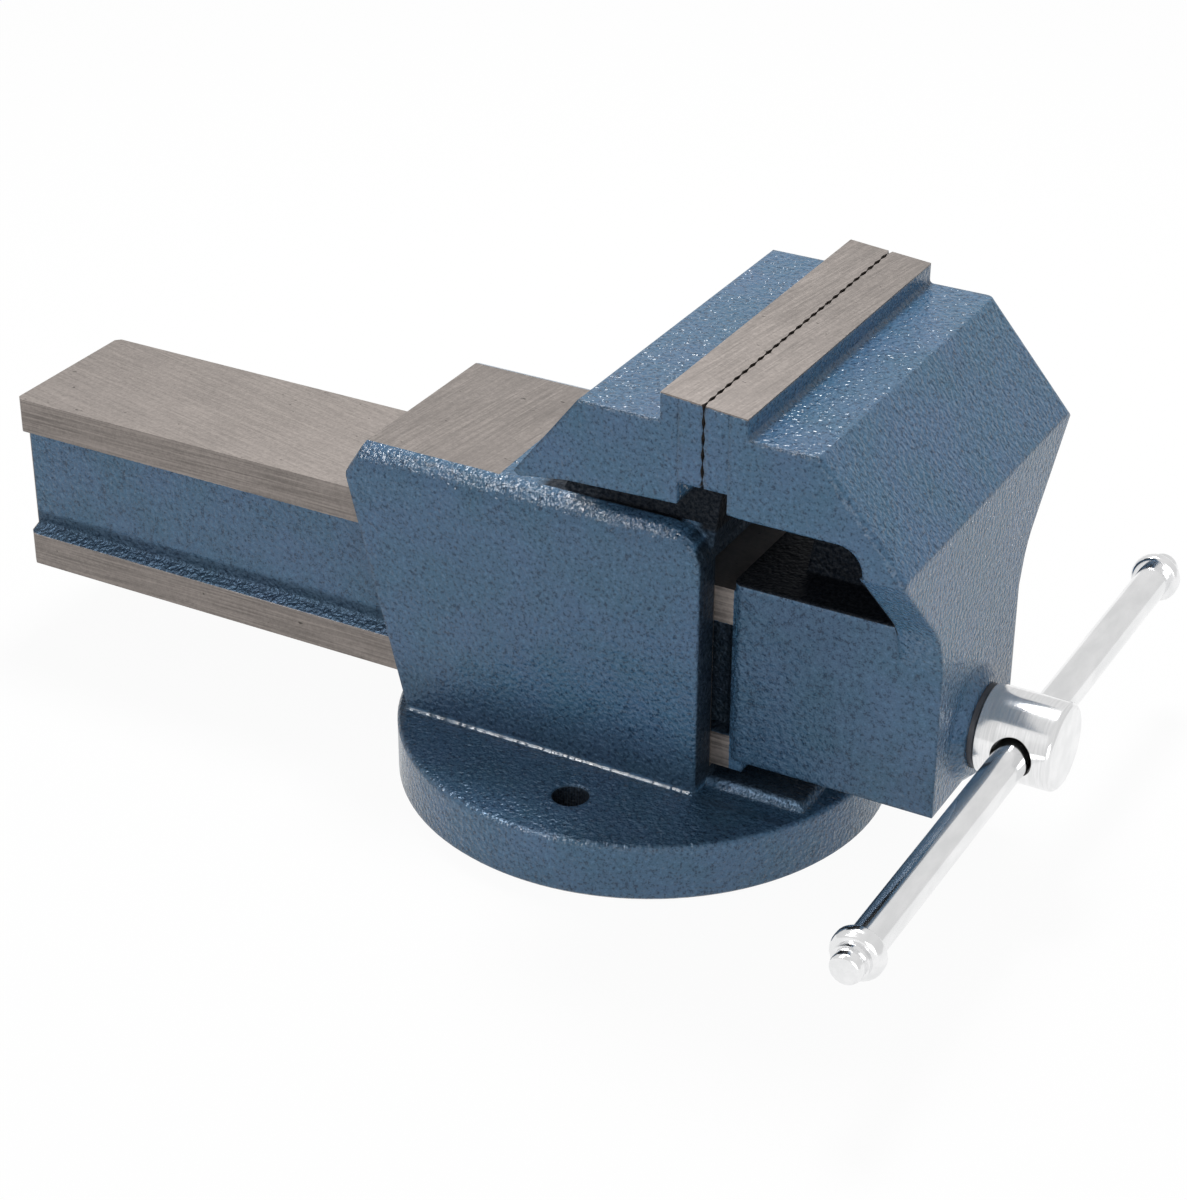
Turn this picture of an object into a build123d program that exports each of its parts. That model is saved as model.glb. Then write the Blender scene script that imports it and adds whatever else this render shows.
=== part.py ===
from build123d import *
import math
import os

# Frame: origin at the centre of the round base, on its underside.
# +X points along the slide to the handle, +Y across the jaws, +Z up. Millimetres.

# Round base
BASE_R = 95.0
BASE_T = 23.0
BASE_EDGE = 1.2
BASE_HOLE_R = 7.0
BASE_HOLE_X = 5.0
BASE_HOLE_SPACING = 135.0
PAD_FRONT = 84.0
PAD_HALF = 36.5
PAD_TOP = 26.0
PAD_EDGE = 2.0
POCKET_LENGTH = 64.0
POCKET_WIDTH = 62.0
POCKET_DEPTH = 14.0
POCKET_X = -40.0

# Body over the base, seen from the side
WALL_HALF = 45.0
WALL_TOP = 121.0
FRONT_X = 44.5
ANVIL_Z = 130.6
ANVIL_HALF = 38.9
ANVIL_REAR = -97.2
REAR_TOP = (-104.0, 120.0)
REAR_FOOT = (-80.2, BASE_T)
NECK_HALF = 36.0

# Slide, and the channel that it runs in
SLIDE_HALF = 33.3
SLIDE_BOTTOM = 30.7
SLIDE_TOP = 105.2
SLIDE_REAR = -269.0
FLANGE_TOP_H = 14.3
FLANGE_BOTTOM_H = 13.4
WEB_RECESS = 6.0
RECESS_FRONT = 52.0
SIDE_CLEARANCE = 0.2
HEIGHT_CLEARANCE = 0.3
HOLLOW_HALF = 20.0
HOLLOW_TOP = 88.0

# Jaws: the tops are ground in one pass that falls a little towards the front
JAW_HALF = 75.0
PARTING = 59.0
JAW_GAP = 0.3
TOP_Z = 196.3
TOP_FALL = 0.085
PLATE_T = 9.2
PLATE_BOTTOM = 166.0
FIXED_LIP_X = 43.0
MOVING_LIP_X = 75.1
SHELF_Z = 187.2
UNDER_Z = 157.0
TOOTH_PITCH = 6.0
TOOTH_DEPTH = 0.6

# Front block of the moving jaw
BLOCK_REAR = 52.3
BLOCK_FRONT = 133.0
BLOCK_HALF = 35.3
BLOCK_BOTTOM = 36.2
BLOCK_TOP = 109.2
BLOCK_EDGE = 4.0
FRONT_WALL_REAR = 117.0
BORE_WALL_REAR = 108.0
BOSS_R = 18.5
BOSS_FRONT = 136.5
RIB_HALF = 14.0
CASTING_EDGE = 2.5

# Main screw, its nut and what holds it in the moving jaw
SCREW_Z = 56.8
SCREW_R = 11.0
RUNNING_FIT = 0.05
SCREW_TAIL = -240.0
THREAD_ROOT_R = 8.6
THREAD_REAR = -224.0
THREAD_FRONT = -5.0
HEAD_R = 16.5
HEAD_REAR = 138.5
HEAD_FRONT = 168.1
NUT_REAR = -65.0
NUT_FRONT = -15.0
NUT_HALF = 18.5
NUT_BOLT_XS = (-55.0, -25.0)
NUT_BOLT_R = 5.0
WASHER_T = 2.0
COLLAR_REAR = 64.0
COLLAR_FRONT = 80.0
COLLAR_R = 17.0
PIN_R = 2.5
PIN_HALF = 17.0
END_PIN_X = -234.0
SPRING_WIRE = 2.8
SPRING_R = 14.2
SPRING_TURNS = 3

# Jaw plate screws
PLATE_SCREW_Y = 45.0
PLATE_SCREW_Z = 180.5
PLATE_SCREW_R = 4.0
PLATE_SCREW_REACH = 15.0
PLATE_HEAD_R = 6.5
PLATE_HEAD_H = 5.0
PLATE_HEAD_SUNK = 1.4

# Tommy bar
BAR_X = 153.4
BAR_R = 6.7
BAR_HOLE_R = 7.8
BAR_SAG = 0.7
BAR_NEAR = -143.0
BAR_FAR = 134.0
KNOB_R = 9.6
KNOB_FLANGE = 7.0
KNOB_LENGTH = 13.5
KNOB_BOSS_R = 5.8
STUD_R = 4.0
STUD_LENGTH = 9.0

FREE = 0.1
THROUGH = 20.0


def block(x0, x1, y0, y1, z0, z1):
    """A box between two corners."""
    return Pos((x0 + x1) / 2, (y0 + y1) / 2, (z0 + z1) / 2) * Box(x1 - x0, y1 - y0, z1 - z0)


def outline(points, rounded=None):
    """A closed outline, with a radius at the listed corners, by their place in points."""
    face = make_face(Polyline(*points, close=True))
    for index, radius in (rounded or {}).items():
        corner = face.vertices().sort_by_distance(Vector(*points[index]))[0]
        face = fillet(corner, radius)
    return face


def across(points, half, rounded=None):
    """An outline in side view (x, z), carried across the vise by half to each side."""
    return extrude(Plane.XZ * outline(points, rounded), half, both=True)


def lengthwise(points, x0, x1, rounded=None):
    """An outline in front view (y, z), carried along the vise from x0 to x1."""
    return extrude(Plane.YZ.offset(x0) * outline(points, rounded), x1 - x0)


def rod_x(radius, x0, x1, y=0.0, z=SCREW_Z):
    """A round bar along the vise."""
    return Pos((x0 + x1) / 2, y, z) * Rot(0, 90, 0) * Cylinder(radius, x1 - x0)


def rod_y(radius, y0, y1, x, z):
    """A round bar across the vise."""
    return Pos(x, (y0 + y1) / 2, z) * Rot(90, 0, 0) * Cylinder(radius, y1 - y0)


def rod_z(radius, z0, z1, x, y=0.0):
    """An upright round bar."""
    return Pos(x, y, (z0 + z1) / 2) * Cylinder(radius, z1 - z0)


def jaw_top(x):
    """Height of the ground jaw top at x."""
    return TOP_Z - TOP_FALL * (x - PARTING)


def both_sides(shape):
    """A shape and its mirror image on the other side of the vise."""
    return shape + mirror(shape, Plane.XZ)


def base_disc():
    """Round base with a softened rim and two bolt holes."""
    disc = rod_z(BASE_R, 0, BASE_T, 0)
    disc = chamfer(disc.edges().filter_by(GeomType.CIRCLE), BASE_EDGE)
    hole = rod_z(BASE_HOLE_R, -THROUGH, BASE_T + THROUGH, BASE_HOLE_X, BASE_HOLE_SPACING / 2)
    return disc - both_sides(hole)


def body_block():
    """Upright body: the full side outline in the middle, rounded off to a lower wall on each side."""
    foot_z = BASE_T / 2
    lean = (REAR_FOOT[0] - REAR_TOP[0]) / (REAR_TOP[1] - REAR_FOOT[1])
    rear_foot = (REAR_FOOT[0] + lean * (REAR_FOOT[1] - foot_z), foot_z)
    middle = [(FRONT_X, foot_z), (FRONT_X, ANVIL_Z), (ANVIL_REAR, ANVIL_Z), REAR_TOP, rear_foot]
    front_wall = FRONT_X - 1.2
    wall_rear = (REAR_TOP[0] + lean * 3.0, REAR_TOP[1] - 3.0)
    wall = [(front_wall, foot_z), (front_wall, WALL_TOP), (REAR_TOP[0] + 4.0, WALL_TOP), wall_rear,
            (rear_foot[0] + 1.0, foot_z)]

    def section(turn):
        """The side outline where the rounded edge faces turn degrees away from straight up."""
        drop = 1 - math.cos(math.radians(turn))
        half = ANVIL_HALF + (WALL_HALF - ANVIL_HALF) * math.sin(math.radians(turn))
        points = [(x0 + (x1 - x0) * drop, z0 + (z1 - z0) * drop) for (x0, z0), (x1, z1) in zip(middle, wall)]
        return Plane.XZ.offset(half) * outline(points, {1: 15.0 - 6.0 * drop})

    core = extrude(Plane.XZ * outline(middle, {1: 15.0}), ANVIL_HALF, both=True)
    rounded_edge = loft([section(turn) for turn in (0, 30, 60, 90)], ruled=True)
    return core + both_sides(rounded_edge)


def fixed_jaw_head():
    """Overhanging head of the fixed jaw, on a narrower neck."""
    seat = PARTING - JAW_GAP / 2 - PLATE_T
    head = [(seat, UNDER_Z + 1.0), (seat, jaw_top(seat)), (FIXED_LIP_X, jaw_top(FIXED_LIP_X)),
            (FIXED_LIP_X, SHELF_Z), (11.8, SHELF_Z), (-13.3, 154.8), (-11.5, 153.4), (7.0, UNDER_Z - 0.8)]
    neck = [(FRONT_X, WALL_TOP), (seat, UNDER_Z + 2.0), (-2.0, UNDER_Z + 2.0), (-16.0, ANVIL_Z - 2.0),
            (-16.0, WALL_TOP)]
    return across(head, JAW_HALF, {3: 1.5}) + across(neck, NECK_HALF, {2: 1.0, 3: 6.0})


def fixed_body():
    """One casting: base, body with its channel, anvil and fixed jaw."""
    pad = block(FRONT_X - THROUGH, PAD_FRONT, -PAD_HALF, PAD_HALF, BASE_T / 2, PAD_TOP)
    pad = chamfer(pad.edges().group_by(Axis.Z)[-1], PAD_EDGE)
    casting = base_disc() + body_block() + pad + fixed_jaw_head()
    channel_half = SLIDE_HALF + SIDE_CLEARANCE
    floor = SLIDE_BOTTOM - HEIGHT_CLEARANCE
    roof = SLIDE_TOP + HEIGHT_CLEARANCE
    casting -= block(REAR_TOP[0] - THROUGH, FRONT_X + THROUGH, -channel_half, channel_half, floor, roof)
    relief = [(FRONT_X + 3.0, roof - 1.0), (FRONT_X + 3.0, 119.8), (FRONT_X - 12.0, roof - 1.0)]
    casting -= across(relief, channel_half)
    pocket = block(POCKET_X - POCKET_LENGTH / 2, POCKET_X + POCKET_LENGTH / 2,
                   -POCKET_WIDTH / 2, POCKET_WIDTH / 2, -THROUGH, POCKET_DEPTH)
    casting -= fillet(pocket.edges().filter_by(Axis.Z), 8.0)
    for x in NUT_BOLT_XS:
        casting -= rod_z(NUT_BOLT_R + 0.3, 0, floor + 1.0, x)
    seat = PARTING - JAW_GAP / 2 - PLATE_T
    for y in (-PLATE_SCREW_Y, PLATE_SCREW_Y):
        casting -= rod_x(PLATE_SCREW_R + FREE, seat - PLATE_SCREW_REACH - 1.0, seat + 1.0, y, PLATE_SCREW_Z)
    return casting


def jaw_plate(face_x, back):
    """Hardened plate with crossed V-grooves on its gripping face; back is -1 or +1, away from the face."""
    back_x = face_x + back * PLATE_T
    profile = [(face_x, PLATE_BOTTOM), (face_x, jaw_top(face_x)), (back_x, jaw_top(back_x)),
               (back_x, PLATE_BOTTOM)]
    plate = across(profile, JAW_HALF)
    proud = 1.3
    half_width = TOOTH_PITCH / math.sqrt(8) * proud
    lift = TOOTH_DEPTH * (proud - 1)
    groove = outline([(-lift, -half_width), (-lift, half_width), (TOOTH_DEPTH, 0)])
    if back < 0:
        groove = mirror(groove, Plane.YZ)
    long_enough = jaw_top(face_x) - PLATE_BOTTOM
    cutter = extrude(groove, long_enough, both=True)
    middle_z = (PLATE_BOTTOM + TOP_Z) / 2
    steps = math.ceil((JAW_HALF + long_enough / 2) / TOOTH_PITCH)
    cutters = []
    for step in range(-steps, steps + 1):
        for slant in (-45, 45):
            cutters.append(Pos(face_x, step * TOOTH_PITCH, middle_z) * Rot(slant, 0, 0) * cutter)
    plate = plate - cutters
    seat_x = face_x + back * (PLATE_HEAD_SUNK + PLATE_HEAD_H)
    for y in (-PLATE_SCREW_Y, PLATE_SCREW_Y):
        ends = sorted((face_x - back, seat_x))
        plate -= rod_x(PLATE_HEAD_R + 0.4, *ends, y, PLATE_SCREW_Z)
        ends = sorted((face_x, back_x + back))
        plate -= rod_x(PLATE_SCREW_R + FREE, *ends, y, PLATE_SCREW_Z)
    return plate


def plate_screws(face_x, back):
    """Two socket screws, their heads sunk below the teeth of one plate."""
    head_front = face_x + back * PLATE_HEAD_SUNK
    head_seat = head_front + back * PLATE_HEAD_H
    tip = face_x + back * (PLATE_T + PLATE_SCREW_REACH)
    socket = extrude(Plane.YZ * RegularPolygon(3.4, 6), 6.0, both=True)
    screws = []
    for y in (-PLATE_SCREW_Y, PLATE_SCREW_Y):
        screw = rod_x(PLATE_HEAD_R, *sorted((head_front, head_seat)), y, PLATE_SCREW_Z)
        screw += rod_x(PLATE_SCREW_R, *sorted((head_seat, tip)), y, PLATE_SCREW_Z)
        screws.append(screw - Pos(head_front - back * 3.0, y, PLATE_SCREW_Z) * socket)
    return screws


def slide():
    """Hollow slide, open underneath, with a flange along each edge and a recessed web between."""
    bar = block(SLIDE_REAR, BLOCK_REAR + 5.0, -SLIDE_HALF, SLIDE_HALF, SLIDE_BOTTOM, SLIDE_TOP)
    upright = bar.edges().filter_by(Axis.Z).group_by(Axis.X)[0]
    bar = chamfer(upright, 2.0)
    web_low = SLIDE_BOTTOM + FLANGE_BOTTOM_H
    web_high = SLIDE_TOP - FLANGE_TOP_H
    draft = 2.4
    floor_y = SLIDE_HALF - WEB_RECESS
    recess = [(-SLIDE_HALF - 1.0, web_low - draft / WEB_RECESS), (-floor_y, web_low + draft),
              (-floor_y, web_high - draft), (-SLIDE_HALF - 1.0, web_high + draft / WEB_RECESS)]
    cutter = lengthwise(recess, SLIDE_REAR - THROUGH, RECESS_FRONT)
    run_out = cutter.edges().filter_by(Axis.Z).group_by(Axis.X)[-1].sort_by(Axis.Y)[-1]
    return bar - both_sides(fillet(run_out, WEB_RECESS - 0.3))


def moving_jaw_head():
    """Overhanging head of the moving jaw, carried by a flared front wall and a rib behind it."""
    seat = PARTING + JAW_GAP / 2 + PLATE_T
    wall_top = 147.6
    head = [(seat, UNDER_Z + 1.5), (seat, jaw_top(seat)), (MOVING_LIP_X, jaw_top(MOVING_LIP_X)),
            (MOVING_LIP_X, SHELF_Z), (100.5, SHELF_Z), (BLOCK_FRONT, 149.3), (BLOCK_FRONT, wall_top),
            (FRONT_WALL_REAR, wall_top), (FRONT_WALL_REAR, UNDER_Z), (77.0, UNDER_Z)]
    head_solid = across(head, JAW_HALF, {3: 1.5, 8: 9.0})
    front_ends = head_solid.edges().filter_by(
        lambda edge: abs(edge.center().Y) > JAW_HALF - FREE and edge.center().X > MOVING_LIP_X + THROUGH
        and edge.center().Z > wall_top + 1.0)
    head_solid = fillet(front_ends, CASTING_EDGE)
    flare = [(JAW_HALF, wall_top), (40.0, 111.5), (BLOCK_HALF, 96.0), (BLOCK_HALF, 80.0)]
    wall = flare + [(-y, z) for y, z in reversed(flare)]
    wall_solid = lengthwise(wall, FRONT_WALL_REAR, BLOCK_FRONT, {1: 30.0, 6: 30.0})
    rib = [(71.0, BLOCK_TOP - 2.0), (79.0, UNDER_Z + 2.0), (FRONT_WALL_REAR + 2.0, UNDER_Z + 2.0),
           (FRONT_WALL_REAR + 2.0, BLOCK_TOP - 2.0)]
    return head_solid + wall_solid + across(rib, RIB_HALF)


def moving_jaw():
    """One casting: slide, front block and moving jaw."""
    front = block(BLOCK_REAR, BLOCK_FRONT, -BLOCK_HALF, BLOCK_HALF, BLOCK_BOTTOM, BLOCK_TOP)
    front = fillet(front.edges().filter_by(Axis.Z).group_by(Axis.X)[0], BLOCK_EDGE)
    boss = Pos(BLOCK_FRONT, 0, SCREW_Z) * Rot(0, 90, 0) * Cone(
        BOSS_R + 3.5, BOSS_R, BOSS_FRONT - BLOCK_FRONT, align=(Align.CENTER, Align.CENTER, Align.MIN))
    casting = slide() + front + moving_jaw_head() + boss
    casting -= block(SLIDE_REAR - THROUGH, BORE_WALL_REAR, -HOLLOW_HALF, HOLLOW_HALF,
                     SLIDE_BOTTOM - THROUGH, HOLLOW_TOP)
    casting -= rod_x(SCREW_R + RUNNING_FIT, BORE_WALL_REAR - 1.0, BOSS_FRONT + 1.0)
    seat = PARTING + JAW_GAP / 2 + PLATE_T
    for y in (-PLATE_SCREW_Y, PLATE_SCREW_Y):
        casting -= rod_x(PLATE_SCREW_R + FREE, seat - 1.0, seat + PLATE_SCREW_REACH + 1.0, y, PLATE_SCREW_Z)
    return casting


def screw_nut():
    """Nut block with a round top, standing on the channel floor."""
    floor = SLIDE_BOTTOM - HEIGHT_CLEARANCE
    nut = block(NUT_REAR, NUT_FRONT, -NUT_HALF, NUT_HALF, floor, SCREW_Z) + rod_x(NUT_HALF, NUT_REAR, NUT_FRONT)
    nut -= rod_x(SCREW_R + RUNNING_FIT, NUT_REAR - 1.0, NUT_FRONT + 1.0)
    for x in NUT_BOLT_XS:
        nut -= rod_z(NUT_BOLT_R + FREE, floor - 1.0, floor + 12.5, x)
    return nut


def nut_bolts():
    """Two hexagon bolts from below, through the channel floor into the nut."""
    head_top = POCKET_DEPTH - WASHER_T
    floor = SLIDE_BOTTOM - HEIGHT_CLEARANCE
    bolts = []
    for x in NUT_BOLT_XS:
        head = Pos(x, 0, head_top - 7.0) * extrude(RegularPolygon(9.2, 6), 7.0)
        bolts.append(head + rod_z(NUT_BOLT_R, head_top, floor + 12.0, x))
    return bolts


def nut_bolt_washers():
    """Flat washers under the bolt heads."""
    top = POCKET_DEPTH
    return [rod_z(10.5, top - WASHER_T, top, x) - rod_z(NUT_BOLT_R + 0.4, 0, BASE_T, x) for x in NUT_BOLT_XS]


def lead_screw():
    """Main screw with its round head, bored across for the bar; the thread is drawn at its root."""
    shank = rod_x(SCREW_R, SCREW_TAIL, HEAD_REAR)
    shank = chamfer(shank.edges().sort_by(Axis.X)[0], 2.0)
    shank -= rod_x(SCREW_R + 1.0, THREAD_REAR, THREAD_FRONT) - rod_x(THREAD_ROOT_R, THREAD_REAR, THREAD_FRONT)
    head = rod_x(HEAD_R, HEAD_REAR, HEAD_FRONT)
    head = fillet(head.edges().filter_by(GeomType.CIRCLE).sort_by(Axis.X)[-1], 2.5)
    head = chamfer(head.edges().filter_by(GeomType.CIRCLE).sort_by(Axis.X)[0], 0.8)
    screw = shank + head - rod_y(BAR_HOLE_R, -THROUGH, THROUGH, BAR_X, SCREW_Z)
    for x in ((COLLAR_REAR + COLLAR_FRONT) / 2, END_PIN_X):
        screw -= rod_z(PIN_R + FREE, SCREW_Z - THROUGH, SCREW_Z + THROUGH, x)
    return screw


def ring_on_screw(outer, x0, x1, clearance=0.4):
    """A washer or collar round the screw."""
    return rod_x(outer, x0, x1) - rod_x(SCREW_R + clearance, x0 - 1.0, x1 + 1.0)


def retaining_collar():
    """Collar pinned to the screw behind the front wall."""
    collar = ring_on_screw(COLLAR_R, COLLAR_REAR, COLLAR_FRONT, FREE)
    pin_x = (COLLAR_REAR + COLLAR_FRONT) / 2
    return collar - rod_z(PIN_R + FREE, SCREW_Z - THROUGH, SCREW_Z + THROUGH, pin_x)


def cross_pin(x):
    """Upright pin through the screw."""
    return rod_z(PIN_R, SCREW_Z - PIN_HALF, SCREW_Z + PIN_HALF, x)


def helix_arcs(radius, x0, x1, turns):
    """A coil along the screw as pairs of tangent arcs, two pairs to each turn."""
    rise = (x1 - x0) / (2 * math.pi * turns)
    slant = math.hypot(radius, rise)

    def point(angle):
        return Vector(x0 + rise * angle, radius * math.cos(angle), SCREW_Z + radius * math.sin(angle))

    def tangent(angle):
        return Vector(rise, -radius * math.sin(angle), radius * math.cos(angle)) / slant

    arcs = []
    for step in range(2 * turns):
        start, end = step * math.pi, (step + 1) * math.pi
        chord = point(end) - point(start)
        both = tangent(start) + tangent(end)
        a = 2 * (1 - tangent(start).dot(tangent(end)))
        b = 2 * chord.dot(both)
        reach = (-b + math.sqrt(b * b + 4 * a * chord.dot(chord))) / (2 * a)
        middle = (point(start) + point(end) + (tangent(start) - tangent(end)) * reach) / 2
        first = TangentArc(point(start), middle, tangent=tangent(start))
        arcs += [first, TangentArc(middle, point(end), tangent=first % 1)]
    return Wire(arcs)


def take_up_spring():
    """Compression spring between the front wall's washer and the collar."""
    x0 = COLLAR_FRONT + SPRING_WIRE / 2 + 0.4
    x1 = BORE_WALL_REAR - FREE - WASHER_T - SPRING_WIRE / 2 - 0.4
    path = helix_arcs(SPRING_R, x0, x1, SPRING_TURNS)
    section = Rectangle(SPRING_WIRE, SPRING_WIRE)
    spring = sweep(Plane(path @ 0, z_dir=path % 0) * section, path)
    gap = (x1 - x0) / SPRING_TURNS - SPRING_WIRE
    print("spring gap between turns", round(gap, 2), "length", round(path.length, 1),
          "volume ratio", round(spring.volume / (section.area * path.length), 3))
    return spring


def handle_bar():
    """Tommy bar with a stud at each end for its knob."""
    z = SCREW_Z - BAR_SAG
    bar = rod_y(BAR_R, BAR_NEAR, BAR_FAR, BAR_X, z)
    return bar + rod_y(STUD_R, BAR_NEAR - STUD_LENGTH, BAR_FAR + STUD_LENGTH, BAR_X, z)


def handle_knob(inner_y, outward):
    """Turned knob: a flange against the bar, and a smaller end; outward is -1 or +1."""
    bore = STUD_R + FREE
    bore_end = STUD_LENGTH + 0.3
    half = [(bore, 0), (KNOB_R - 0.8, 0), (KNOB_R, 0.8), (KNOB_R, 3.2), (KNOB_R - 1.0, 5.4),
            (KNOB_BOSS_R, KNOB_FLANGE), (KNOB_BOSS_R, KNOB_LENGTH - 1.2), (KNOB_BOSS_R - 1.2, KNOB_LENGTH),
            (0, KNOB_LENGTH), (0, bore_end), (bore, bore_end)]
    knob = revolve(outline(half), Axis.Y)
    if outward < 0:
        knob = mirror(knob, Plane.XZ)
    return Pos(BAR_X, inner_y, SCREW_Z - BAR_SAG) * knob


FIXED_FACE = PARTING - JAW_GAP / 2
MOVING_FACE = PARTING + JAW_GAP / 2
SPRING_WASHER_FRONT = BORE_WALL_REAR - FREE

PIECES = {
    "fixed_body": fixed_body(),
    "fixed_jaw_plate": jaw_plate(FIXED_FACE, -1),
    "fixed_jaw_screws": plate_screws(FIXED_FACE, -1),
    "screw_nut": screw_nut(),
    "nut_bolts": nut_bolts(),
    "nut_bolt_washers": nut_bolt_washers(),
    "moving_jaw": moving_jaw(),
    "moving_jaw_plate": jaw_plate(MOVING_FACE, 1),
    "moving_jaw_screws": plate_screws(MOVING_FACE, 1),
    "lead_screw": lead_screw(),
    "thrust_washer": ring_on_screw(HEAD_R - 0.7, BOSS_FRONT + FREE, HEAD_REAR),
    "spring_washer": ring_on_screw(COLLAR_R, SPRING_WASHER_FRONT - WASHER_T, SPRING_WASHER_FRONT),
    "take_up_spring": take_up_spring(),
    "retaining_collar": retaining_collar(),
    "collar_pin": cross_pin((COLLAR_REAR + COLLAR_FRONT) / 2),
    "end_stop_washer": ring_on_screw(COLLAR_R, END_PIN_X + PIN_R + FREE, END_PIN_X + PIN_R + FREE + 3.0),
    "end_stop_pin": cross_pin(END_PIN_X),
    "handle_bar": handle_bar(),
    "handle_knob_near": handle_knob(BAR_NEAR, -1),
    "handle_knob_far": handle_knob(BAR_FAR, 1),
}

os.makedirs("parts", exist_ok=True)
for node, piece in PIECES.items():
    solids = piece if isinstance(piece, list) else [piece]
    whole = Compound(children=[Compound(s.solids()) if len(s.solids()) > 1 else s.solids()[0] for s in solids])
    export_step(whole if len(solids) > 1 else solids[0], f"parts/{node}.step")
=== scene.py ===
import math
import bmesh
import bpy
import numpy as np
from mathutils import Matrix, Vector


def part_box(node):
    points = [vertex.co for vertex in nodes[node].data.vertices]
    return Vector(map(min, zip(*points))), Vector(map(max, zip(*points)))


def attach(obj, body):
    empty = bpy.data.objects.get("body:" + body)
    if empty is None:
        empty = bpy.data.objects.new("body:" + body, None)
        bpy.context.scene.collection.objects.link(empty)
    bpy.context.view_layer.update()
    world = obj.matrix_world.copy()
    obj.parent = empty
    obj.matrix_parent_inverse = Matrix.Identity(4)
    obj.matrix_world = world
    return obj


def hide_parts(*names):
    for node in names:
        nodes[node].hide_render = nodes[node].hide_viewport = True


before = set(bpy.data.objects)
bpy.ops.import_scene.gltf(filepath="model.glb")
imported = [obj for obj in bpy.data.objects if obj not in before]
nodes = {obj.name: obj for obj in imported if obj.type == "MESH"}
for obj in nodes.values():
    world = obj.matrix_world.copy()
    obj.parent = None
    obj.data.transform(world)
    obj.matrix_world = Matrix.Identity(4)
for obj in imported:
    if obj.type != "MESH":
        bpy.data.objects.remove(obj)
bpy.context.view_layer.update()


# The fixed casting: round base, channel walls, anvil and fixed jaw in one grey iron casting.
# Sprayed with blue hammered enamel, then the anvil, the jaw lip and the channel are machined bare.
class Shade:
    """One shader socket. Arithmetic on it adds Math nodes, and node() adds any other node."""

    def __init__(self, tree, socket=None):
        self.tree = tree
        self.socket = socket

    def node(self, kind, settings, sockets, output=0):
        """Adds a node: its settings first, then a value or a link for each socket that is named."""
        made = self.tree.nodes.new("ShaderNode" + kind)
        for key, value in settings.items():
            setattr(made, key, value)
        for key, value in sockets.items():
            if isinstance(value, Shade):
                self.tree.links.new(value.socket, made.inputs[key])
            else:
                made.inputs[key].default_value = value
        return Shade(self.tree, made.outputs[output] if made.outputs else None)

    def math(self, operation, first, second):
        return self.node("Math", {"operation": operation}, {0: first, 1: second})

    def __add__(self, other):
        return self.math("ADD", self, other)

    def __sub__(self, other):
        return self.math("SUBTRACT", self, other)

    def __rsub__(self, other):
        return self.math("SUBTRACT", other, self)

    def __mul__(self, other):
        return self.math("MULTIPLY", self, other)

    def __abs__(self):
        return self.math("ABSOLUTE", self, 0.0)

    def __or__(self, other):
        return self.math("MAXIMUM", self, other)

    def rise(self, low, high):
        """0 below low, 1 above high and a smooth ramp between, or the reverse where high < low."""
        ends = {"From Min": low, "From Max": high}
        if high < low:
            ends = {"From Min": high, "From Max": low, "To Min": 1.0, "To Max": 0.0}
        return self.node("MapRange", {"interpolation_type": "SMOOTHSTEP"}, {"Value": self, **ends})

    def between(self, low, high, soft):
        """1 from low to high, falling to 0 over the width soft outside either end."""
        return self.rise(low - soft, low) * self.rise(high + soft, high)

    def mix(self, low, high):
        """The colour low where this socket is 0 and the colour high where it is 1."""
        return self.node("Mix", {"data_type": "RGBA"}, {0: self, 6: low, 7: high}, 2)

    def noise(self, scale, detail=2.0, stretch=(1.0, 1.0, 1.0)):
        """Fractal noise on this vector, with the vector first multiplied by stretch."""
        place = self.node("VectorMath", {"operation": "MULTIPLY"}, {0: self, 1: stretch})
        return self.node("TexNoise", {}, {"Vector": place, "Scale": scale, "Detail": detail})

    def bump(self, height, depth, normal=None):
        """The normal of a surface raised by height times depth metres."""
        sockets = {"Height": height, "Strength": 1.0, "Distance": depth}
        if normal:
            sockets["Normal"] = normal
        return self.node("Bump", {}, sockets)


def material(name):
    """A new material with an empty tree: (material, Object position, and its x, y and z)."""
    made = bpy.data.materials.new(name)
    made.use_nodes = True
    made.node_tree.nodes.clear()
    place = Shade(made.node_tree).node("TexCoord", {}, {}, "Object")
    axes = [place.node("SeparateXYZ", {}, {0: place}, axis) for axis in "XYZ"]
    return made, place, *axes


def surface(place, **sockets):
    """Closes a material with one Principled shader, each socket a value or a link."""
    named = {key.replace("_", " "): value for key, value in sockets.items()}
    shader = place.node("BsdfPrincipled", {}, named)
    place.node("OutputMaterial", {}, {"Surface": shader})


def grinding(place, feed_angle, stretch):
    """Shade 0-1 of fine parallel grinding marks: noise stretched along a feed turned about Z."""
    turned = place.node("Mapping", {}, {"Vector": place, "Rotation": (0.0, 0.0, feed_angle)})
    coarse = turned.noise(1.0, 2.0, [0.4 * value for value in stretch])
    return turned.noise(1.0, 3.0, stretch) * 0.75 + coarse * 0.25


enamel_ior = 1.43


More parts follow.
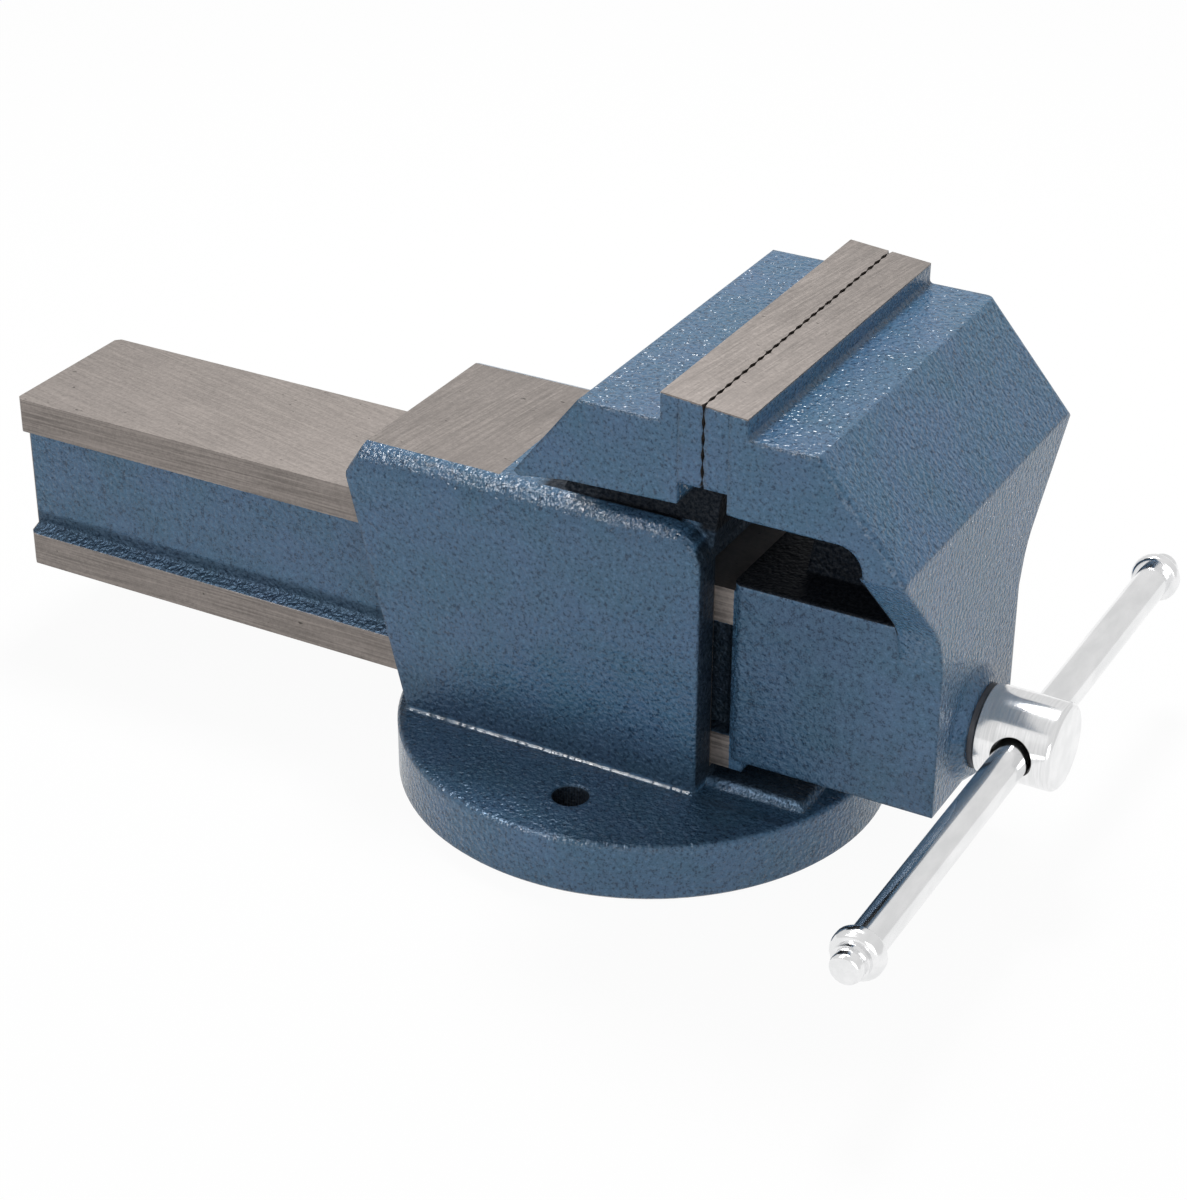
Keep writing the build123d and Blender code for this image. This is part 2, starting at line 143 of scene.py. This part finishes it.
def enamel(name, bare_mask, marks, painted_shade_mask):
    """Blue hammered enamel, with bare iron where bare_mask is 1, ground with the lines of marks.
    Where the last mask is 1 the enamel gives way to near-black rough iron, as painted shade."""
    made, place, x, y, z = material(name)
    chips = (place.noise(700.0, 3.0) - 0.5) * 0.0008
    bare = bare_mask(x, y, z, chips)
    painted_shade = painted_shade_mask(x, y, z) * (1.0 - bare)

    blue_low, blue_high = (0.046, 0.124, 0.207, 1), (0.062, 0.130, 0.236, 1)
    pale_fleck, dark_speck = (0.076, 0.170, 0.285, 1), (0.006, 0.028, 0.066, 1)
    shaded_low, shaded_high = (0.002, 0.002, 0.003, 1), (0.022, 0.021, 0.021, 1)
    grain = place.noise(640.0, 2.0) * 0.6 + place.noise(1500.0, 1.0) * 0.4
    cloud = place.noise(50.0, 3.0)
    paint = cloud.rise(0.2, 0.8).mix(blue_low, blue_high)
    paint = grain.rise(0.53, 0.67).mix(paint, pale_fleck)
    paint = (grain.rise(0.495, 0.35) * 0.8).mix(paint, dark_speck)
    # Painted shade: near-black iron takes the enamel's place where the shade mask is 1.
    shaded_iron = grain.rise(0.40, 0.62).mix(shaded_low, shaded_high)
    paint = (painted_shade * 0.94).mix(paint, shaded_iron)

    iron_low, iron_high = (0.148, 0.132, 0.122, 1), (0.297, 0.265, 0.245, 1)
    pit_brown = (0.05, 0.045, 0.04, 1)
    lines = marks(place, z)
    pits = place.noise(420.0, 2.0, (0.5, 1.0, 1.0)).rise(0.71, 0.76)
    stain = place.noise(35.0, 4.0)
    tone = lines * 0.5 + stain * 0.2 + grain * 0.6 - 0.15
    iron = tone.rise(0.15, 0.85).mix(iron_low, iron_high)
    iron = (pits * 0.85).mix(iron, pit_brown)

    rounded = place.node("Bevel", {"samples": 4}, {"Radius": 0.0025})
    relief = place.bump(place.noise(580.0, 1.0), 0.0007, rounded)
    ground = place.bump(lines - pits, 0.00004)
    surface(
        place,
        Base_Color=bare.mix(paint, iron),
        Metallic=bare * 0.85 + painted_shade * 0.9,
        Roughness=bare * (lines * 0.25 + 0.25) + painted_shade * 0.5 + 0.15,
        IOR=enamel_ior,
        Normal=place.node("Mix", {"data_type": "VECTOR"}, {0: bare, 4: relief, 5: ground}, 1),
    )
    return made


def paint_node(name, made):
    """Gives a CAD node its one material."""
    nodes[name].data.materials.clear()
    nodes[name].data.materials.append(made)


def lip_top(x, z, chips):
    """The sloping top of both jaw lips and of the plates between them, ground in one pass."""
    return (z + x * 0.085 + chips).rise(0.2007, 0.2009)


def fixed_bare(x, y, z, chips):
    """The anvil's top, the jaw lip's sloping top, the channel's inside and the base's underside."""
    anvil = z.rise(0.1301, 0.1303) * (x + y * 0.033 + chips).rise(-0.0416, -0.0420)
    anvil = anvil * (abs(y) + chips * 0.5).rise(0.0390, 0.0388)
    channel = abs(y).rise(0.0340, 0.0338) * z.between(0.0295, 0.1058, 0.0002)
    under = z.rise(0.0004, 0.0002)
    return anvil | lip_top(x, z, chips) | channel | under


def fixed_painted_shade(x, y, z):
    """Painted shade, drawn as near-black iron: the bolt holes, the neck's front, what the
    overhanging head shades and the walls' front ends. Fainter painted shade at the walls' feet and
    beside them on the base."""
    hole_x, hole_y = x - 0.005, abs(y) - 0.0675
    off_hole = hole_x * hole_x + hole_y * hole_y
    hole = off_hole.rise(0.0000505, 0.0000485) * z.rise(0.0232, 0.0222)
    neck = x.rise(0.036, 0.041) * z.between(0.1290, 0.1580, 0.006) * abs(y).rise(0.058, 0.042)
    facing = x.node("TexCoord", {}, {}, "Normal")
    not_rearward = x.node("SeparateXYZ", {}, {0: facing}, "X").rise(-0.5, -0.2)
    under = z.between(0.1360, 0.1565, 0.004) * abs(y).rise(0.0740, 0.0730) * x.rise(-0.016, -0.012)
    pocket = x.rise(-0.027, -0.021) * z.between(0.1303, 0.1380, 0.0004)
    pocket = pocket * abs(y).rise(0.0388, 0.0380)
    edge = x.rise(0.0405, 0.0424) * z.between(0.0270, 0.1290, 0.004)
    edge = edge * abs(y).rise(0.0452, 0.0435)
    foot = z.rise(0.0560, 0.0260) * z.rise(0.0220, 0.0235) * abs(y).between(0.0440, 0.0480, 0.001)
    skirt = z.between(0.0228, 0.0233, 0.0003) * abs(y).between(0.0470, 0.1100, 0.030)
    return hole | neck | not_rearward * (under | pocket) | edge * 0.8 | foot * 0.45 | skirt * 0.22


def cross_marks(place, z):
    """Surface grinding across the vise, a little askew and the same at every height z."""
    return grinding(place, 0.12, (2400.0, 60.0, 2400.0)) * 1.3 - 0.4


paint_node("fixed_body", enamel("fixed_body_enamel", fixed_bare, cross_marks, fixed_painted_shade))


def ring_mesh(name, grid, crease):
    """A mesh from a grid of points: rows along the length, each closed to a ring, with capped ends.
    An edge stays sharp where its faces turn by more than crease radians."""
    rows, sides = grid.shape[:2]
    row = np.arange(rows - 1)[:, None] * sides
    side = np.arange(sides)[None, :]
    after = (side + 1) % sides
    quads = np.stack([row + side, row + after, row + sides + after, row + sides + side], -1)
    caps = [list(range(sides))[::-1], list(range((rows - 1) * sides, rows * sides))]
    mesh = bpy.data.meshes.new(name)
    mesh.from_pydata(grid.reshape(-1, 3).tolist(), [], quads.reshape(-1, 4).tolist() + caps)
    shape = bmesh.new()
    shape.from_mesh(mesh)
    bmesh.ops.recalc_face_normals(shape, faces=shape.faces)
    shape.to_mesh(mesh)
    shape.free()
    mesh.shade_smooth()
    mesh.set_sharp_from_angle(angle=crease)
    made = bpy.data.objects.new(name, mesh)
    bpy.context.scene.collection.objects.link(made)
    return made


# Where the sprayed enamel ran together at the walls' feet it set smooth and glossy.
# A small hollow of it follows the foot of each wall.
pooled_enamel, place, *_ = material("pooled_enamel")
depth = place.noise(300.0, 2.0).rise(0.3, 0.7)
surface(
    place,
    Base_Color=depth.mix((0.020, 0.055, 0.100, 1), (0.050, 0.120, 0.210, 1)),
    Roughness=depth * 0.10 + 0.10,
    IOR=enamel_ior,
    Normal=place.bump(depth, 0.0001),
)


def foot_cove(side):
    """Quarter-round hollow where a wall meets the base, carried along the wall's foot."""
    radius, wall_y, base_z, sunk = 0.0016, 0.0450, 0.0230, 0.0004
    turn = np.linspace(0.0, math.pi / 2, 9)
    across_y = wall_y + radius * (1 - np.cos(turn))
    up_z = base_z + radius * (1 - np.sin(turn))
    section_y = side * np.append(across_y, wall_y - sunk)
    section_z = np.append(up_z, base_z - sunk)
    along = np.linspace(-0.0800, 0.0425, 2)[:, None]
    grid = np.stack(np.broadcast_arrays(along, section_y, section_z), -1)
    cove = ring_mesh("foot_cove_near" if side < 0 else "foot_cove_far", grid, 0.6)
    cove.data.materials.append(pooled_enamel)
    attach(cove, "body")


foot_cove(-1)
foot_cove(1)


# The screw's nut, an iron block in the channel, with two bolts and washers from under the base.
# As cast and turned, left unpainted and lightly oiled.
def steel(name, dark, light, rough, stretch):
    """Plain steel or iron with turning marks: base colours dark to light and a roughness."""
    made, place, *_ = material(name)
    lines = grinding(place, 0.0, stretch)
    tone = lines * 0.5 + place.noise(60.0, 4.0) * 0.5
    surface(
        place,
        Base_Color=tone.rise(0.3, 0.7).mix(dark, light),
        Metallic=1.0,
        Roughness=tone * 0.2 + (rough - 0.1),
        Normal=place.bump(lines, 0.00002),
    )
    return made


nut_iron = steel(
    "nut_iron", (0.10, 0.095, 0.09, 1), (0.20, 0.19, 0.18, 1), 0.55, (900.0, 900.0, 900.0)
)
paint_node("screw_nut", nut_iron)
dark_steel = steel(
    "dark_steel", (0.06, 0.06, 0.065, 1), (0.14, 0.14, 0.15, 1), 0.40, (2200.0, 300.0, 300.0)
)
for name in ("nut_bolts", "nut_bolt_washers"):
    paint_node(name, dark_steel)


# The two hardened jaw plates, serrated on the gripping face and screwed to the castings.
# Ground on top after the vise was sprayed, so their ends and undersides carry the enamel.
def plate_bare(x, y, z, chips):
    """The ground top and the gripping face; the ends and the underside are painted over."""
    inside = (abs(y) + chips * 0.2).rise(0.07490, 0.07480)
    return inside * z.rise(0.1663, 0.1665) | lip_top(x, z, chips)


def plate_painted_shade(x, y, z):
    """Painted shade, drawn as near-black iron, on the underside over the throat."""
    return z.rise(0.1664, 0.1660) * abs(y).rise(0.0748, 0.0740)


plate_steel = enamel("plate_steel", plate_bare, cross_marks, plate_painted_shade)
for name in ("fixed_jaw_plate", "moving_jaw_plate"):
    paint_node(name, plate_steel)
for name in ("fixed_jaw_screws", "moving_jaw_screws"):
    paint_node(name, dark_steel)


# The moving casting: a long slide, an inverted channel, with the front block and the moving jaw.
# Sprayed like the body; the slide's flanges, its top and the jaw lip are machined.
def moving_bare(x, y, z, chips):
    """The slide's top and flanges behind the front block, its rear end and the jaw lip's top."""
    web_low, web_high, soft = 0.0445, 0.0908, 0.0003
    behind = (x + chips).rise(0.0522, 0.0519)
    flange = abs(y).rise(0.0328, 0.0331) * (1.0 - (z + chips).between(web_low, web_high, soft))
    top = (z + chips).rise(0.1046, 0.1049)
    under = z.rise(0.0313, 0.0310)
    corner = x.rise(-0.2655, -0.2665) * (1.0 - z.between(web_low, web_high, soft))
    rear = x.rise(-0.2686, -0.2688) | corner
    return (flange | top | under | rear) * behind | lip_top(x, z, chips)


def moving_painted_shade(x, y, z):
    """Painted shade, drawn as near-black iron: the throat between the front block and the
    overhanging head, and the slide's hollow. Fainter painted shade at the web's root, on the ledge
    under it and on the block's flank."""
    throat = z.between(0.1088, 0.1572, 0.0004) * x.between(0.0400, 0.1172, 0.0004)
    throat = throat * abs(y).rise(0.0745, 0.0700)
    hollow = abs(y).rise(0.0204, 0.0201) * z.rise(0.0885, 0.0880) * x.rise(0.1085, 0.1080)
    root = z.between(0.0450, 0.0905, 0.002) * x.between(0.0400, 0.0530, 0.006)
    root = root * abs(y).rise(0.0334, 0.0330)
    ledge = z.between(0.0440, 0.0505, 0.003) * x.rise(0.0500, 0.0450) * abs(y).rise(0.0240, 0.0250)
    flank = x.between(0.0520, 0.0820, 0.045) * z.rise(0.1085, 0.1060)
    flank = flank * abs(y).between(0.0350, 0.0360, 0.0004)
    return throat | hollow | root * 0.85 | ledge * 0.55 | flank * 0.22


def slide_marks(place, z):
    """Askew grinding on the slide's top, lengthwise on its flanges, cross_marks on the jaw lip."""
    askew = grinding(place, 0.22, (40.0, 2200.0, 2200.0))
    along = grinding(place, 0.0, (30.0, 1600.0, 1600.0)) * 3.0 - 1.0
    slide = z.node("Mix", {}, {0: z.rise(0.1046, 0.1049), 2: along, 3: askew})
    return z.node("Mix", {}, {0: z.rise(0.150, 0.151), 2: slide, 3: cross_marks(place, z)})


paint_node("moving_jaw", enamel("moving_jaw_enamel", moving_bare, slide_marks, moving_painted_shade))


# The main screw with its round head, the washers, the spring and the collar that pull the jaw.
# Turned from bar; the head is chromed and the shank behind it is left oiled steel.
def chrome(name, stretch, plated_from=None):
    """Bright plating with faint polishing marks, on oiled steel behind x = plated_from."""
    made, place, x, *_ = material(name)
    oiled = (0.11, 0.105, 0.10, 1)
    lines = grinding(place, 0.0, stretch)
    colour = lines.rise(0.35, 0.65).mix((0.80, 0.805, 0.81, 1), (0.90, 0.90, 0.905, 1))
    if plated_from:
        colour = x.rise(plated_from - 0.001, plated_from).mix(oiled, colour)
    surface(
        place,
        Base_Color=colour,
        Metallic=1.0,
        Roughness=lines * 0.14 + 0.07,
        Normal=place.bump(lines, 0.000008),
    )
    return made


paint_node("lead_screw", chrome("screw_chrome", (1800.0, 90.0, 90.0), 0.137))
for name in ("thrust_washer", "spring_washer", "retaining_collar", "collar_pin", "take_up_spring",
             "end_stop_washer", "end_stop_pin"):
    paint_node(name, dark_steel)


def thread_ridge(axis_z, root, crest, pitch, start, turns):
    """A trapezoid carried round a helix at height axis_z: x rises one pitch a turn, and the crest
    fades in at both ends."""
    angle = np.linspace(0.0, 2 * math.pi * turns, 40 * turns + 1)[:, None]
    fade = np.clip(np.minimum(angle, angle[::-1]) / math.pi, 0.0, 1.0)
    offset = np.array([-0.38, -0.16, 0.16, 0.38, 0.38, -0.38])[None, :] * pitch
    height = np.array([0.0, 1.0, 1.0, 0.0, -0.15, -0.15])[None, :] * (crest - root)
    radius = root + np.where(height > 0, height * fade, height)
    along = start + pitch * angle / (2 * math.pi) + offset
    grid = np.stack([along, radius * np.cos(angle), axis_z + radius * np.sin(angle)], -1)
    return ring_mesh("screw_thread", grid, math.radians(25))


thread = thread_ridge(axis_z=0.0568, root=0.0086, crest=0.0109, pitch=0.005, start=-0.222, turns=43)
thread.data.materials.append(dark_steel)
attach(thread, "screw")


# The tommy bar, a chromed round bar through the screw's head, with a turned knob on each end.
# It slides in the head until a knob meets it.
bar_chrome = chrome("bar_chrome", (160.0, 50.0, 160.0))


def round_bar(name):
    """Two circles of 96 points at the ends of the bar's box, joined and capped."""
    low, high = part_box(name)
    angle = np.linspace(0.0, 2 * math.pi, 96, endpoint=False)
    radius = (high.x - low.x) / 2
    grid = np.stack([
        low.x + radius + radius * np.cos(angle) + np.zeros((2, 1)),
        np.array([[low.y], [high.y]]) + 0 * angle,
        low.z + radius + radius * np.sin(angle) + np.zeros((2, 1)),
    ], -1)
    bar = ring_mesh(name + "_round", grid, math.radians(35))
    bar.data.materials.append(bar_chrome)
    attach(bar, "handle")
    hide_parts(name)


round_bar("handle_bar")


def turned_knob(name, inner, outward):
    """A profile of (radius, length) arcs and lines turned round the bar's axis, 72 to the circle.
    Lengths run from the knob's inner face, in the direction outward along Y."""
    low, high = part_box(name)
    centre_x, centre_z = (low.x + high.x) / 2, (low.z + high.z) / 2
    quarter = np.linspace(0.0, math.pi / 2, 7)
    flange = np.stack([0.0082 + 0.0014 * np.sin(quarter), 0.0014 - 0.0014 * np.cos(quarter)], -1)
    shoulder = np.stack([0.0068 + 0.0028 * np.cos(quarter), 0.0030 + 0.0030 * np.sin(quarter)], -1)
    neck = np.array([[0.0060, 0.0064], [0.0057, 0.0070], [0.0057, 0.0120]])
    tip = np.stack([0.0042 + 0.0015 * np.cos(quarter), 0.0120 + 0.0015 * np.sin(quarter)], -1)
    profile = np.concatenate([[[0.0043, 0.0]], flange, shoulder, neck, tip, [[0.0001, 0.0135]]])
    angle = np.linspace(0.0, 2 * math.pi, 72, endpoint=False)
    radius, length = profile[:, :1], profile[:, 1:]
    grid = np.stack([
        centre_x + radius * np.cos(angle),
        inner + outward * length + 0 * angle,
        centre_z + radius * np.sin(angle),
    ], -1)
    knob = ring_mesh(name + "_turned", grid, math.radians(35))
    knob.data.materials.append(bar_chrome)
    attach(knob, "handle")
    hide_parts(name)


turned_knob("handle_knob_near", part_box("handle_knob_near")[1].y, -1)
turned_knob("handle_knob_far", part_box("handle_knob_far")[0].y, 1)


# The studio: a pale floor, an even white surround and two soft lamps, as in a light tent.
# Two strips outside the tent are seen in glossy surfaces only, and put the glints on the enamel.
# The floor lies just under the base and is clear from below, so that the underside can be seen.
def ray_kinds(shade):
    """Sockets that are 1 for rays from the camera, for glossy rays and for rays passing through."""
    kinds = ("Camera", "Glossy", "Transmission")
    return [shade.node("LightPath", {}, {}, f"Is {kind} Ray") for kind in kinds]


floor_half, floor_z = 4.0, -0.0003
corners = [(-floor_half, -floor_half), (floor_half, -floor_half), (floor_half, floor_half),
           (-floor_half, floor_half)]
floor_mesh = bpy.data.meshes.new("floor")
floor_mesh.from_pydata([(*corner, floor_z) for corner in corners], [], [(0, 1, 2, 3)])
floor = bpy.data.objects.new("floor", floor_mesh)
bpy.context.scene.collection.objects.link(floor)
paper, place, *_ = material("floor_paper")
matt = place.node("BsdfDiffuse", {}, {"Color": (0.86, 0.86, 0.86, 1)})
white = place.node("Emission", {}, {"Color": (1, 1, 1, 1)})
seen, gloss, through = ray_kinds(place)
blend = place.node("MixShader", {}, {0: (seen | gloss | through) * 0.95, 1: matt, 2: white})
below = place.node("NewGeometry", {}, {}, "Backfacing")
clear = place.node("BsdfTransparent", {}, {})
one_sided = place.node("MixShader", {}, {0: below, 1: blend, 2: clear})
place.node("OutputMaterial", {}, {"Surface": one_sided})
floor_mesh.materials.append(paper)

# The surround is white to the camera, a little darker in reflections and dimmer still as light.
world = bpy.data.worlds.new("tent")
bpy.context.scene.world = world
world.use_nodes = True
world.node_tree.nodes.clear()
tent = Shade(world.node_tree)
seen, gloss, through = ray_kinds(tent)
level = (seen | (gloss | through) * 0.65) * 0.60 + 0.40
shade = tent.node("Background", {}, {"Color": (1, 1, 1, 1), "Strength": level})
tent.node("OutputWorld", {}, {"Surface": shade})


def soft_lamp(name, place, target, size, power):
    """An area lamp at place, facing target, with its level width and its height in size."""
    data = bpy.data.lights.new(name, "AREA")
    data.shape = "RECTANGLE"
    data.size, data.size_y = size
    data.energy = power
    lamp = bpy.data.objects.new(name, data)
    bpy.context.scene.collection.objects.link(lamp)
    lamp.location = place
    lamp.rotation_euler = (Vector(target) - Vector(place)).to_track_quat("-Z", "Y").to_euler()
    return lamp


soft_lamp("overhead", (-0.20, 0.42, 1.25), (0.0, 0.0, 0.1), (0.35, 0.35), 13.5)
soft_lamp("low_front", (0.75, -1.22, 0.28), (0.0, 0.0, 0.1), (0.8, 0.8), 6.0)
for glint in (
    soft_lamp("strip_high", (-0.52, -0.35, 1.15), (0.0, -0.35, 0.1), (0.70, 0.12), 10.0),
    soft_lamp("strip_low", (-0.51, -0.92, 0.72), (-0.02, -0.05, 0.12), (0.22, 0.45), 6.0),
):
    glint.visible_diffuse = False

# The camera, fitted to the photograph: a long lens from the front right and above.
# Its place, turn and lens come from the straight edges of the castings.
camera_data = bpy.data.cameras.new("camera")
camera_data.sensor_fit = "VERTICAL"
camera_data.sensor_height = 36.0
camera_data.lens = 85.5
camera = bpy.data.objects.new("camera", camera_data)
bpy.context.scene.collection.objects.link(camera)
azimuth, elevation, roll = math.radians(28.83), math.radians(29.44), math.radians(0.27)
camera.matrix_world = (
    Matrix.Translation((0.43202, -0.82652, 0.59659))
    @ Matrix.Rotation(azimuth, 4, "Z")
    @ Matrix.Rotation(math.pi / 2 - elevation, 4, "X")
    @ Matrix.Rotation(roll, 4, "Z")
)
bpy.context.scene.camera = camera
bpy.context.scene.view_settings.view_transform = "Standard"
